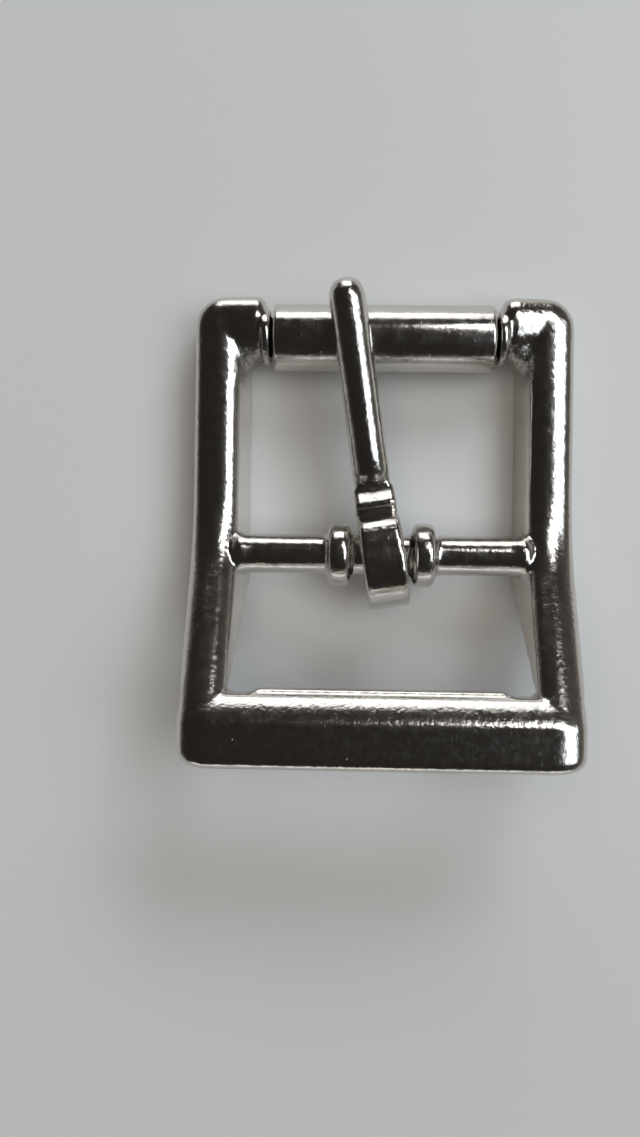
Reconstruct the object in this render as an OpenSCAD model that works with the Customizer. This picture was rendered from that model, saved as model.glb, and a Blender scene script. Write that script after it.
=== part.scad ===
// Roller buckle for a flat strap: a cast frame with two windows, a roller that turns
// on a cast pin, and a tongue whose eye hangs loose on the centre bar.
// It lies as it rests on a table: X across the strap, Y from the heel bar to the
// roller, Z up. The origin is on the table, under the middle of the outline.

/* [Strap and windows] */
// Clear width between the legs, for the strap
window_w = 25.0; // [20:0.5:32]
// Extra clear width on each side of the window next to the heel bar
heel_relief = 0.4; // [0:0.1:0.8]
// Distance from the centre bar to the axis of the roller
bar_to_roller = 19.0; // [17.5:0.5:24]
// Distance from the centre bar to the inner edge of the heel bar
bar_to_heel = 11.5; // [10:0.5:15]

/* [Legs] */
// Width of a leg at its parting line
leg_w = 4.0; // [3.6:0.1:5]
// Width of a leg at the shoulders of its domed top
leg_top_w = 3.5; // [3:0.1:3.6]
// Height of the level part of a leg
leg_h = 4.7; // [4.2:0.1:5.6]
// Radius of the dome over a leg, seen along the leg
dome_r = 2.4; // [2.2:0.1:4]
// Depth of the parting line below the top of a leg
parting_depth = 2.9; // [2:0.1:3.4]
// Distance from the centre bar to the start of the upward bend
bend_start = 6.5; // [5:0.5:9]
// Radius of the upward bend, measured at the top of a leg
bend_r = 16.8; // [13:0.2:20]
// Slope of the legs between the centre bar and the heel bar
ramp_angle = 26; // [22:1:32]
// Distance from the centre bar, toward the heel, where the foot of a leg ends
foot_end = 1.5; // [0.5:0.1:3]

/* [Ears] */
// Width of an ear across the strap
ear_w = 6.25; // [5.6:0.05:7.5]
// Length of an ear along the strap
ear_l = 6.8; // [6.4:0.1:8]
// Height of an ear at its middle
ear_h = 5.1; // [5:0.1:6]
// Radius of the outer corner of an ear
ear_outer_r = 2.6; // [1.5:0.1:3]
// Radius of the inner corner of an ear
ear_inner_r = 1.2; // [0.6:0.1:2]
// Radius of the ball that domes the top of an ear
ear_dome_r = 9.0; // [8:0.5:20]

/* [Heel bar] */
// Depth of the heel bar along the strap
heel_d = 6.0; // [4.5:0.1:8]
// Thickness of the heel bar
heel_t = 4.0; // [3:0.1:5]
// Height that the heel bar stands above the legs where they meet it
heel_rise = 0.7; // [0.4:0.1:1.2]
// Rounding of the upper edge of the heel bar toward the window and at its ends
heel_crown_r = 1.9; // [1.2:0.1:2.2]
// Rounding of the other long edges of the heel bar
heel_edge_r = 0.9; // [0.4:0.1:1.4]
// Radius of the outer corners of the heel bar in plan
heel_corner_r = 1.4; // [0.6:0.1:2.5]
// Radius in the corners of the window next to the heel bar
window_corner_r = 1.4; // [0.6:0.1:2.5]
// Distance that the lip stands out below the inner edge of the heel bar
lip_out = 0.45; // [0.2:0.05:1]
// Height of the lip
lip_h = 1.4; // [0.8:0.1:2.4]
// Distance from each leg to the end of the lip
lip_inset = 2.8; // [1.5:0.1:6]

/* [Centre bar] */
// Diameter of the centre bar
bar_d = 3.5; // [3:0.1:3.8]
// Height of the axis of the centre bar above the table
bar_z = 3.9; // [3.6:0.1:4.2]
// Diameter at the root of the flare where the centre bar meets a leg
flare_d = 4.7; // [4.0:0.1:5.4]
// Length of that flare
flare_l = 1.3; // [0.8:0.1:2.5]
// Diameter of the two collars that keep the tongue in the middle
collar_d = 5.6; // [5:0.1:6.4]
// Width of a collar
collar_w = 2.0; // [1.4:0.1:3]
// Clear distance between the collars
collar_gap = 5.3; // [5.3:0.1:8]
// Bevel on the edges of a collar
collar_bevel = 0.5; // [0.2:0.1:0.7]

/* [Roller] */
// Diameter of the roller
roller_d = 5.8; // [5.2:0.1:7]
// Diameter of the cast pin inside the roller
pin_d = 3.3; // [2.8:0.1:3.6]
// Radial clearance between the pin and the roller
pin_play = 0.3; // [0.1:0.05:0.5]
// Clearance between each end of the roller and the shoulder beside it
end_play = 0.3; // [0.15:0.05:0.6]
// Diameter of the round shoulder on the inner face of an ear
shoulder_d = 4.8; // [4:0.1:5]
// Width of that shoulder
shoulder_w = 0.35; // [0.2:0.05:0.8]
// Rounding bevel on the ends of the roller
roller_bevel = 0.25; // [0.1:0.05:0.5]
// Clearance under the roller and under the eye of the tongue
table_gap = 0.06; // [0.05:0.01:0.1]

/* [Tongue] */
// Outer diameter of the eye
eye_d = 8.0; // [7.8:0.1:9]
// Width of the eye
eye_w = 3.7; // [3:0.1:3.8]
// Least clearance between the bore of the eye and the centre bar
eye_play = 0.12; // [0.1:0.01:0.3]
// Distance that the loose eye sits back from the centre bar
eye_back = 0.65; // [0:0.05:0.7]
// Distance that the eye sits to the right of the middle
eye_side = 0.2; // [0:0.05:0.25]
// Sideways lean of the tongue in its loose eye
lean = 8.8; // [0:0.2:9]
// Distance that the tip passes the axis of the roller
tip_past = 4.05; // [3.6:0.05:6]
// Width of the prong
prong_w = 3.15; // [2.6:0.05:3.6]
// Thickness of the prong over the roller
prong_t = 2.7; // [2.2:0.1:3.4]
// Clearance between the prong and the roller
prong_gap = 0.1; // [0.05:0.01:0.3]
// Thickness of the neck between the eye and the prong
neck_t = 2.6; // [2.2:0.1:3.2]
// Length of the neck, from the eye to the step
neck_l = 1.4; // [1:0.1:2]
// Height of the step from the neck up to the prong
step_h = 1.0; // [0.5:0.1:1.4]
// Length of the step
step_l = 1.2; // [0.8:0.1:2]

/* [Hidden] */
$fn = 64;
eps = 0.02;
deep = 30;
// Overlap of the ramp with the end of the bend, so that the two make one body
seam_lap = 0.01;
// Distance before the heel bar from which a leg is held under the top of that bar
heel_lap = 2;
// Depth of the end of a leg under the top of the heel bar
leg_tuck = 0.25;

// Main stations, measured from the axis of the centre bar
half_in = window_w / 2;
half_out = half_in + leg_w;
ear_end = bar_to_roller + ear_l / 2;
ear_start = bar_to_roller - ear_l / 2;
heel_end = -(bar_to_heel + heel_d);
roller_z = roller_d / 2 + table_gap;
eye_z = eye_d / 2 + table_gap;
tip_y = bar_to_roller + tip_past;

// The outline runs from the heel bar to the tip of the tongue
mid_y = (heel_end + max(tip_y, ear_end)) / 2;

// The top line of a leg: level, bend, then ramp
bend_z = leg_h + bend_r;
ramp_y = bend_start - bend_r * sin(ramp_angle);
ramp_z = bend_z - bend_r * cos(ramp_angle);
heel_top = ramp_z + (ramp_y + bar_to_heel) * tan(ramp_angle) + heel_rise;
heel_low = heel_top - heel_t;

// Faces beside the roller
ear_face = half_out - ear_w;
shoulder_face = ear_face - shoulder_w;
roller_l = 2 * (shoulder_face - end_play);

// The bore of the eye clears the bar through the whole lean
eye_off = norm([eye_back, eye_z - bar_z]);
eye_bore_r = bar_d / 2 + eye_off + eye_w / 2 * tan(lean) + eye_play;

// The prong, measured from the centre of the eye along the prong
tongue_l = (tip_y + eye_back) / cos(lean);
rest_s = (bar_to_roller + eye_back) / cos(lean);
rest_z = roller_d + table_gap + prong_gap;
neck_s = eye_d / 2 - 0.3;
neck_z = eye_z - neck_t / 2 + 0.05;
step_s = neck_s + neck_l;
prong_s = step_s + step_l;
prong_rise = atan((rest_z - neck_z) / (rest_s - neck_s));
prong_top = rest_z + prong_t;
prong_top_start = neck_z + neck_t + step_h;

// Moves a sub-part from the centre bar to the common origin
module place() {
    translate([0, -mid_y, 0]) children();
}

// Puts a shape on both sides of the middle plane
module both_sides() {
    children();
    mirror([1, 0, 0]) children();
}

// A round bar along X between two stations
module bar_x(d, x0, x1, y, z) {
    translate([x0, y, z]) rotate([0, 90, 0]) cylinder(d = d, h = x1 - x0);
}

// Section of a leg: first axis is the depth below the top, second is across
module leg_section() {
    intersection() {
        polygon([
            [0, -leg_top_w / 2],
            [parting_depth, -leg_w / 2],
            [leg_h + deep, -leg_w / 2],
            [leg_h + deep, leg_w / 2],
            [parting_depth, leg_w / 2],
            [0, leg_top_w / 2]
        ]);
        union() {
            translate([dome_r, 0]) circle(dome_r);
            translate([dome_r * 0.9, -leg_w]) square([leg_h + 2 * deep, 2 * leg_w]);
        }
    }
}

// Side view of a leg: its foot lies level, then rises to the heel bar
module leg_side() {
    polygon([
        [ear_end - ear_outer_r, 0],
        [ear_end - ear_outer_r, leg_h + deep],
        [heel_lap - bar_to_heel, leg_h + deep],
        [heel_lap - bar_to_heel, heel_top - leg_tuck],
        [heel_end + heel_d / 2, heel_top - leg_tuck],
        [heel_end + heel_d / 2, heel_low + eps],
        [-bar_to_heel, heel_low + eps],
        [-foot_end, 0]
    ]);
}

// The domed leg along its level part, its bend and its ramp
module leg_sweep() {
    level_l = ear_end - ear_outer_r - bend_start;
    ramp_l = (bar_to_heel + heel_crown_r + ramp_y) / cos(ramp_angle);
    translate([0, bend_start + level_l, leg_h])
        rotate([90, 90, 0])
            linear_extrude(level_l) leg_section();
    translate([0, bend_start, bend_z])
        rotate([180, 90, 0])
            rotate_extrude(angle = ramp_angle, $fn = 128)
                translate([bend_r, 0]) leg_section();
    translate([0, bend_start, bend_z])
        rotate([-ramp_angle, 0, 0])
            translate([0, 0, -bend_r])
                rotate([90, 90, 0])
                    translate([0, 0, -seam_lap]) linear_extrude(ramp_l) leg_section();
}

// One leg, with the relief beside the window at the heel
module leg() {
    difference() {
        intersection() {
            translate([half_in + leg_w / 2, 0, 0]) leg_sweep();
            rotate([90, 0, 90]) linear_extrude(half_out + leg_w) leg_side();
        }
        translate([half_in - leg_w, -bar_to_heel - heel_d, -eps])
            cube([leg_w + heel_relief, bar_to_heel + heel_d - bar_d / 2, deep]);
        translate([0, -bar_to_heel, 0])
            rotate([90, 0, 0]) linear_extrude(heel_d) heel_shoulder();
    }
}

// Plan of an ear, with one corner cut across toward the leg
module ear_plan() {
    outer = [half_out - ear_outer_r, ear_end - ear_outer_r];
    inner = [ear_face + ear_inner_r, ear_end - ear_inner_r];
    polygon([
        [half_out, ear_start - 1],
        [half_out, outer[1]],
        [outer[0], ear_end],
        [inner[0], ear_end],
        [ear_face, inner[1]],
        [ear_face, bar_to_roller - shoulder_d / 2 + 0.6],
        [half_in - 0.5, ear_start],
        [half_in + 0.5, ear_start - 1]
    ]);
    translate(outer) circle(ear_outer_r);
    translate(inner) circle(ear_inner_r);
}

// One ear, domed on top, that carries the end of the pin
module ear() {
    intersection() {
        linear_extrude(ear_h + 1) ear_plan();
        translate([half_out - ear_w / 2, bar_to_roller, ear_h - ear_dome_r])
            sphere(ear_dome_r, $fn = 128);
        translate([0, ear_start - 2, 0]) cube([half_out + 1, ear_l + 4, ear_h + 1]);
    }
}

// What a square corner loses when it is rounded
module corner_cut(centre, r, turn) {
    translate(centre) rotate(turn) difference() {
        square([r + 1, r + 1]);
        circle(r);
    }
}

// Side view of the heel bar: a large rounding toward the window, small ones elsewhere
module heel_section() {
    r = heel_edge_r;
    crown = heel_crown_r;
    inner = -bar_to_heel;
    difference() {
        translate([heel_end, heel_low]) square([heel_d, heel_t]);
        corner_cut([heel_end + r, heel_low + r], r, 180);
        corner_cut([inner - r, heel_low + r], r, 270);
        corner_cut([heel_end + r, heel_top - r], r, 90);
        corner_cut([inner - crown, heel_top - crown], crown, 0);
    }
}

// Front view of one end of the heel bar, rounded off in three bevels
function heel_end_line(side, inset) = [
    for (turn = [0 : 30 : 90]) [
        side * (half_out - inset - heel_crown_r * (1 - cos(turn))),
        heel_top + (turn == 90 ? eps : 0) - heel_crown_r * (1 - sin(turn))
    ]
];

// Front view of the heel bar, with both ends rounded off
module heel_front() {
    left = heel_end_line(-1, 0);
    polygon(concat(
        [[-half_out, heel_low - 1], [half_out, heel_low - 1]],
        heel_end_line(1, 0),
        [for (i = [len(left) - 1 : -1 : 0]) left[i]]
    ));
}

// What a leg loses where it runs into the rounded end of the heel bar
module heel_shoulder() {
    polygon(concat(heel_end_line(1, eps), [
        [half_out - heel_crown_r, heel_top + heel_t],
        [half_out + leg_w, heel_top + heel_t],
        [half_out + leg_w, heel_top - heel_crown_r]
    ]));
}

// Plan of the heel bar, with rounded outer corners
module heel_plan() {
    r = heel_corner_r;
    translate([-half_out, heel_end + r]) square([2 * half_out, heel_d]);
    translate([-half_out + r, heel_end - 1]) square([2 * (half_out - r), heel_d]);
    for (side = [-1, 1])
        translate([side * (half_out - r), heel_end + r]) circle(r);
}

// The raised bar at the heel, with the lip under its inner edge
module heel() {
    intersection() {
        translate([-half_out - 1, 0, 0])
            rotate([90, 0, 90]) linear_extrude(2 * half_out + 2) heel_section();
        translate([0, heel_end + heel_d + 1, 0])
            rotate([90, 0, 0]) linear_extrude(heel_d + 2) heel_front();
        linear_extrude(heel_top + 1) heel_plan();
    }
    lip_l = 2 * (half_in - lip_inset);
    translate([-lip_l / 2, -bar_to_heel - 1, heel_low + heel_edge_r])
        cube([lip_l, 1 + lip_out, lip_h]);
}

// Rounded corner between a leg and the heel bar
module window_corner() {
    r = window_corner_r;
    x = half_in + heel_relief;
    translate([0, 0, heel_low + heel_edge_r])
        linear_extrude(heel_t - heel_edge_r - heel_crown_r)
            difference() {
                translate([x - r, -bar_to_heel - eps]) square([r + eps, r + eps]);
                translate([x - r, -bar_to_heel + r]) circle(r);
            }
}

// A collar with bevelled edges, centred on its own middle
module collar() {
    b = collar_bevel;
    rotate([0, 90, 0]) {
        translate([0, 0, -collar_w / 2])
            cylinder(d1 = collar_d - 2 * b, d2 = collar_d, h = b);
        translate([0, 0, -collar_w / 2 + b])
            cylinder(d = collar_d, h = collar_w - 2 * b);
        translate([0, 0, collar_w / 2 - b])
            cylinder(d1 = collar_d, d2 = collar_d - 2 * b, h = b);
    }
}

// The centre bar with its two collars and the flares at the legs
module centre_bar() {
    bar_x(bar_d, -half_in - 1, half_in + 1, 0, bar_z);
    both_sides() {
        translate([collar_gap / 2 + collar_w / 2, 0, bar_z]) collar();
        translate([half_in - flare_l, 0, bar_z])
            rotate([0, 90, 0]) cylinder(d1 = bar_d, d2 = flare_d, h = flare_l + 0.5);
    }
}

// The pin under the roller and the round shoulders beside it
module pin() {
    bar_x(pin_d, -ear_face - 1, ear_face + 1, bar_to_roller, roller_z);
    both_sides()
        bar_x(shoulder_d, shoulder_face, ear_face + 0.5, bar_to_roller, roller_z);
}

module frame() {
    color("gainsboro") place() {
        both_sides() {
            leg();
            ear();
            window_corner();
        }
        heel();
        centre_bar();
        pin();
    }
}

module roller() {
    b = roller_bevel;
    color("silver") place()
        translate([-roller_l / 2, bar_to_roller, roller_z])
            rotate([0, 90, 0])
                difference() {
                    union() {
                        cylinder(d1 = roller_d - 2 * b, d2 = roller_d, h = b);
                        translate([0, 0, b]) cylinder(d = roller_d, h = roller_l - 2 * b);
                        translate([0, 0, roller_l - b])
                            cylinder(d1 = roller_d, d2 = roller_d - 2 * b, h = b);
                    }
                    translate([0, 0, -1])
                        cylinder(r = pin_d / 2 + pin_play, h = roller_l + 2);
                }
}

// Side view of the prong: distance from the eye, then height above the table
module prong_side() {
    polygon([
        [eye_d / 4, neck_z + 0.3],
        [neck_s, neck_z],
        [rest_s, rest_z],
        [tongue_l - 1.2, rest_z + 0.2],
        [tongue_l, rest_z + prong_t * 0.45],
        [tongue_l - 0.3, prong_top - 0.9],
        [tongue_l - 1.1, prong_top - 0.25],
        [rest_s, prong_top],
        [prong_s, prong_top_start],
        [step_s, neck_z + neck_t],
        [neck_s, neck_z + neck_t],
        [eye_d / 4, neck_z + neck_t + 0.3]
    ]);
}

// Plan of the prong: wide at the eye, round at the tip
module prong_plan() {
    r = prong_w / 2;
    polygon([
        [-eye_w / 2, 0],
        [eye_w / 2, 0],
        [eye_w / 2, neck_s],
        [r + 0.1, prong_s],
        [r, tongue_l - r],
        [-r, tongue_l - r],
        [-r - 0.1, prong_s],
        [-eye_w / 2, neck_s]
    ]);
    translate([0, tongue_l - r]) circle(r);
}

// Round back of the prong, which also leaves the neck below it untouched
module prong_dome() {
    top_slope = atan((prong_top - prong_top_start) / (rest_s - prong_s));
    r = eye_w / 2 + 0.05;
    translate([0, prong_s, prong_top_start - r])
        rotate([top_slope, 0, 0])
            rotate([-90, 0, 0])
                translate([0, 0, -prong_s - 2]) {
                    cylinder(r = r, h = tongue_l + 6);
                    translate([-r, 0, 0]) cube([2 * r, deep, tongue_l + 6]);
                }
}

// The tongue with its eye centred on the Z axis and its prong along Y
module straight_tongue() {
    difference() {
        union() {
            bar_x(eye_d, -eye_w / 2, eye_w / 2, 0, eye_z);
            intersection() {
                translate([-eye_w, 0, 0])
                    rotate([90, 0, 90]) linear_extrude(2 * eye_w) prong_side();
                linear_extrude(prong_top + 1) prong_plan();
                prong_dome();
            }
        }
        bar_x(2 * eye_bore_r, -eye_w, eye_w, 0, eye_z);
    }
}

module tongue() {
    color("lightgray") place()
        translate([eye_side, -eye_back, 0])
            rotate([0, 0, lean]) straight_tongue();
}

frame();
roller();
tongue();
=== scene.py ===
"""Bright nickel roller buckle, lying on a pale table and seen from straight above."""

import logging
import math
from dataclasses import dataclass
from enum import Enum
from typing import Callable, Iterable, NamedTuple, Sequence

import bpy
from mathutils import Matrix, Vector


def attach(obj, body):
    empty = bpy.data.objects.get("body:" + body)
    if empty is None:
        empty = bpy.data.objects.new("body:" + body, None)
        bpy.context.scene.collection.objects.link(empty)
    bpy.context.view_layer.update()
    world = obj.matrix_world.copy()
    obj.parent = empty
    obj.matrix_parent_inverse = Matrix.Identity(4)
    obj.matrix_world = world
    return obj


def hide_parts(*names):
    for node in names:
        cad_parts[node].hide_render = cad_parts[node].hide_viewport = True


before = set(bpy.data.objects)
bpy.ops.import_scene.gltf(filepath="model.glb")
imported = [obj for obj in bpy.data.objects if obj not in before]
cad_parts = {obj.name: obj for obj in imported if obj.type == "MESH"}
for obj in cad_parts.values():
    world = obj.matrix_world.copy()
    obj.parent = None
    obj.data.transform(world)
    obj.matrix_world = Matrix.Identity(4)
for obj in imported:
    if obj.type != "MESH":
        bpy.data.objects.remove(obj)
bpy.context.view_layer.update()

MM = 0.001
RIGHT_ANGLE = 90.0
QUARTER_TURN = math.radians(RIGHT_ANGLE)
# How far from a line a corner may lie and still count as on it, in millimetres
ON_LINE = 0.01
LOG = logging.getLogger("roller_buckle")

Piece = bpy.types.Object
Material = bpy.types.Material
Socket = bpy.types.NodeSocket
Place = Callable[[Vector], bool]
Colour = tuple[float, float, float]


class Pick(Enum):
    """Kinds of mesh part that the hands can take hold of in edit mode."""

    CORNER = "VERT"
    EDGE = "EDGE"
    FACE = "FACE"


class Side(Enum):
    """The two ends of the strap's width."""

    RIGHT = 1
    LEFT = -1


class BarShape(Enum):
    """Shapes of a drawn bar, each with the number of sides that it starts from."""

    FLAT = 4
    ROUND = 32


class Shine(Enum):
    """Which part of a light counts: all of it, its mirror image, or its soft light."""

    ALL = "all"
    MIRRORED = "mirrored"
    SOFT = "soft"


@dataclass(frozen=True)
class Stations:
    """Where the buckle's main lines run, in millimetres.

    The centre bar lies at bar_y. Every other station along the strap is given as a
    distance from it and turned into a place by the method along.
    """

    bar_y: float = -2.775
    bar_z: float = 3.9
    half_in: float = 12.5
    half_out: float = 16.5
    roller_from_bar: float = 19.0
    roller_z: float = 2.96
    heel_from_bar: float = 11.5
    heel_depth: float = 6.0
    heel_top: float = 12.287
    heel_thick: float = 4.0

    def along(self, distance: float) -> float:
        """Place along the strap of a distance from the centre bar."""
        return self.bar_y + distance

    @property
    def roller_y(self) -> float:
        """Place of the roller's axis."""
        return self.along(self.roller_from_bar)

    @property
    def heel_inner_y(self) -> float:
        """Place of the heel bar's inner edge."""
        return self.along(-self.heel_from_bar)

    @property
    def heel_outer_y(self) -> float:
        """Place of the heel bar's outer edge."""
        return self.heel_inner_y - self.heel_depth

    @property
    def heel_low(self) -> float:
        """Height of the heel bar's underside."""
        return self.heel_top - self.heel_thick


class Bench:
    """The maker's hands: each method is one modelling move, with sizes in millimetres.

    Corners closer than MERGE become one, SAW_SLACK is how near the saw a corner counts as
    cut, in metres, MELT is how far a round of smoothing goes, and ROUND is the profile of
    a round bevel.
    """

    MERGE = 0.0005
    SAW_SLACK = 1e-7
    MELT = 0.5
    ROUND = 0.5

    @staticmethod
    def clear() -> None:
        """Leave edit mode and take hold of nothing."""
        if bpy.context.object and bpy.context.object.mode != "OBJECT":
            bpy.ops.object.mode_set(mode="OBJECT")
        bpy.ops.object.select_all(action="DESELECT")

    @staticmethod
    def hold(piece: Piece) -> None:
        """Take hold of one piece alone.

        Args:
            piece: The piece.
        """
        Bench.clear()
        piece.select_set(True)
        bpy.context.view_layer.objects.active = piece

    @staticmethod
    def settle(name: str) -> Piece:
        """Name the piece in hand and settle its place into its mesh.

        Args:
            name: Name of the piece.

        Returns:
            The piece.
        """
        piece = bpy.context.object
        piece.name = name
        piece.data.name = name
        bpy.ops.object.transform_apply(location=True, rotation=True, scale=True)
        return piece

    @staticmethod
    def block(name: str, low: Sequence[float], high: Sequence[float]) -> Piece:
        """Add a block between two corners.

        Args:
            name: Name of the piece.
            low: Lowest corner.
            high: Highest corner.

        Returns:
            The new block.
        """
        Bench.clear()
        middle = [(a + b) / 2 * MM for a, b in zip(low, high)]
        span = [(b - a) * MM for a, b in zip(low, high)]
        bpy.ops.mesh.primitive_cube_add(size=1, location=middle, scale=span)
        return Bench.settle(name)

    @staticmethod
    def rod(name: str, radius: float, start: Sequence[float], length: float,
            facets: int = 64) -> Piece:
        """Add a round bar along X.

        Args:
            name: Name of the piece.
            radius: Radius of the bar.
            start: Middle of its left end.
            length: Its length.
            facets: Number of sides round it.

        Returns:
            The new bar.
        """
        Bench.clear()
        middle = ((start[0] + length / 2) * MM, start[1] * MM, start[2] * MM)
        bpy.ops.mesh.primitive_cylinder_add(
            vertices=facets, radius=radius * MM, depth=length * MM, location=middle,
            rotation=(0, QUARTER_TURN, 0))
        return Bench.settle(name)

    @staticmethod
    def disc(name: str, radius: float, middle: Sequence[float], facets: int) -> Piece:
        """Add a flat round face that looks along X.

        Args:
            name: Name of the piece.
            radius: Radius of the face.
            middle: Its middle.
            facets: Number of sides round it.

        Returns:
            The new face.
        """
        Bench.clear()
        bpy.ops.mesh.primitive_circle_add(
            vertices=facets, radius=radius * MM, fill_type="NGON",
            location=[c * MM for c in middle], rotation=(0, QUARTER_TURN, 0))
        return Bench.settle(name)

    @staticmethod
    def pick(piece: Piece, kind: Pick, place: Place) -> int:
        """Take hold of the corners, edges or faces whose middle lies at a place.

        Args:
            piece: The piece, which is left in edit mode.
            kind: What to take hold of.
            place: Says of a point in millimetres whether it is wanted.

        Returns:
            How many were taken.
        """
        Bench.hold(piece)
        bpy.ops.object.mode_set(mode="EDIT")
        bpy.ops.mesh.select_mode(type=kind.value)
        bpy.ops.mesh.select_all(action="DESELECT")
        bpy.ops.object.mode_set(mode="OBJECT")
        mesh = piece.data
        taken = 0
        if kind is Pick.CORNER:
            for corner in mesh.vertices:
                corner.select = place(corner.co / MM)
                taken += corner.select
        elif kind is Pick.EDGE:
            for edge in mesh.edges:
                a, b = (mesh.vertices[i].co for i in edge.vertices)
                edge.select = place((a + b) / 2 / MM)
                taken += edge.select
        else:
            for face in mesh.polygons:
                face.select = place(face.center / MM)
                taken += face.select
        bpy.ops.object.mode_set(mode="EDIT")
        return taken

    @staticmethod
    def draw_out(move: Sequence[float]) -> None:
        """Extrude the faces in hand by a move."""
        bpy.ops.mesh.extrude_region_move(
            TRANSFORM_OT_translate={"value": [c * MM for c in move]})

    @staticmethod
    def stretch(factors: Sequence[float], about: Sequence[float]) -> None:
        """Scale what is in hand about a point."""
        bpy.ops.transform.resize(value=factors, center_override=[c * MM for c in about])

    @staticmethod
    def turn(axis: str, angle: float, about: Sequence[float]) -> None:
        """Turn what is in hand about a point, by an angle in radians."""
        bpy.ops.transform.rotate(value=angle, orient_axis=axis,
                                 center_override=[c * MM for c in about])

    @staticmethod
    def swing(axis: str, angle: float, steps: int, pivot: Sequence[float]) -> None:
        """Extrude the face in hand round a pivot.

        Args:
            axis: Axis of the turn.
            angle: The whole turn, in radians.
            steps: Number of faces round it.
            pivot: A point of the turning axis.
        """
        for _ in range(steps):
            Bench.draw_out((0, 0, 0))
            Bench.turn(axis, angle / steps, pivot)

    @staticmethod
    def round_off(piece: Piece, place: Place, width: float, steps: int,
                  profile: float = ROUND) -> None:
        """Round the edges at a place.

        Args:
            piece: The piece.
            place: Says which edges, by their middle.
            width: Width of the rounding.
            steps: Number of faces across it.
            profile: Less than ROUND is hollow, more is square.
        """
        Bench.pick(piece, Pick.EDGE, place)
        bpy.ops.mesh.bevel(offset=width * MM, segments=steps, profile=profile,
                           affect="EDGES", clamp_overlap=False)
        Bench.clear()

    @staticmethod
    def cut(piece: Piece, point: Sequence[float], away: Sequence[float]) -> None:
        """Saw a piece along a plane and close the cut.

        Args:
            piece: The piece.
            point: A point of the plane.
            away: Direction of the part that comes off.
        """
        Bench.hold(piece)
        bpy.ops.object.mode_set(mode="EDIT")
        bpy.ops.mesh.select_all(action="SELECT")
        bpy.ops.mesh.bisect(plane_co=[c * MM for c in point], plane_no=away,
                            use_fill=True, clear_outer=True, threshold=Bench.SAW_SLACK)
        Bench.clear()

    @staticmethod
    def apply(piece: Piece, kind: str, **settings: object) -> None:
        """Add one modifier, set it and apply it.

        Args:
            piece: The piece.
            kind: Blender's name of the modifier.
            settings: Its settings.
        """
        Bench.hold(piece)
        tool = piece.modifiers.new(kind.lower(), kind)
        for key, value in settings.items():
            setattr(tool, key, value)
        bpy.ops.object.modifier_apply(modifier=tool.name)

    @staticmethod
    def join(name: str, pieces: Iterable[Piece]) -> Piece:
        """Put several pieces together as one mesh.

        Args:
            name: Name of the result.
            pieces: The pieces, which are used up.

        Returns:
            The joined piece.
        """
        Bench.clear()
        pieces = list(pieces)
        for piece in pieces:
            piece.select_set(True)
        bpy.context.view_layer.objects.active = pieces[0]
        bpy.ops.object.join()
        return Bench.settle(name)

    @staticmethod
    def outward(piece: Piece) -> None:
        """Merge doubled corners and turn every face outward.

        Args:
            piece: The piece.
        """
        Bench.hold(piece)
        bpy.ops.object.mode_set(mode="EDIT")
        bpy.ops.mesh.select_all(action="SELECT")
        bpy.ops.mesh.remove_doubles(threshold=Bench.MERGE * MM)
        bpy.ops.mesh.normals_make_consistent(inside=False)
        Bench.clear()

    @staticmethod
    def cast(piece: Piece, grain: float, rounds: int) -> None:
        """Melt joined shapes into one skin with softly rounded edges, as a casting has.

        Args:
            piece: The joined shapes.
            grain: Size of the skin's faces.
            rounds: How often the skin is smoothed.
        """
        Bench.apply(piece, "REMESH", mode="VOXEL", voxel_size=grain * MM)
        Bench.apply(piece, "SMOOTH", factor=Bench.MELT, iterations=rounds)
        Bench.hold(piece)
        bpy.ops.object.shade_smooth()

    @staticmethod
    def dress(piece: Piece, finish: Material) -> None:
        """Give a piece one finish all over."""
        piece.data.materials.clear()
        piece.data.materials.append(finish)


@dataclass(frozen=True)
class Mottle:
    """Soft noise, spread between two values.

    Lumps are counted in a millimetre, and detail is the octaves of finer noise. Where the
    noise lies below start the value is low, and above end it is high.
    """

    per_mm: float
    detail: float
    start: float
    end: float
    low: float
    high: float


@dataclass(frozen=True)
class Relief:
    """Unevenness of a surface: lumps in a millimetre, octaves of finer noise, depth."""

    per_mm: float
    detail: float
    depth: float


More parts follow.
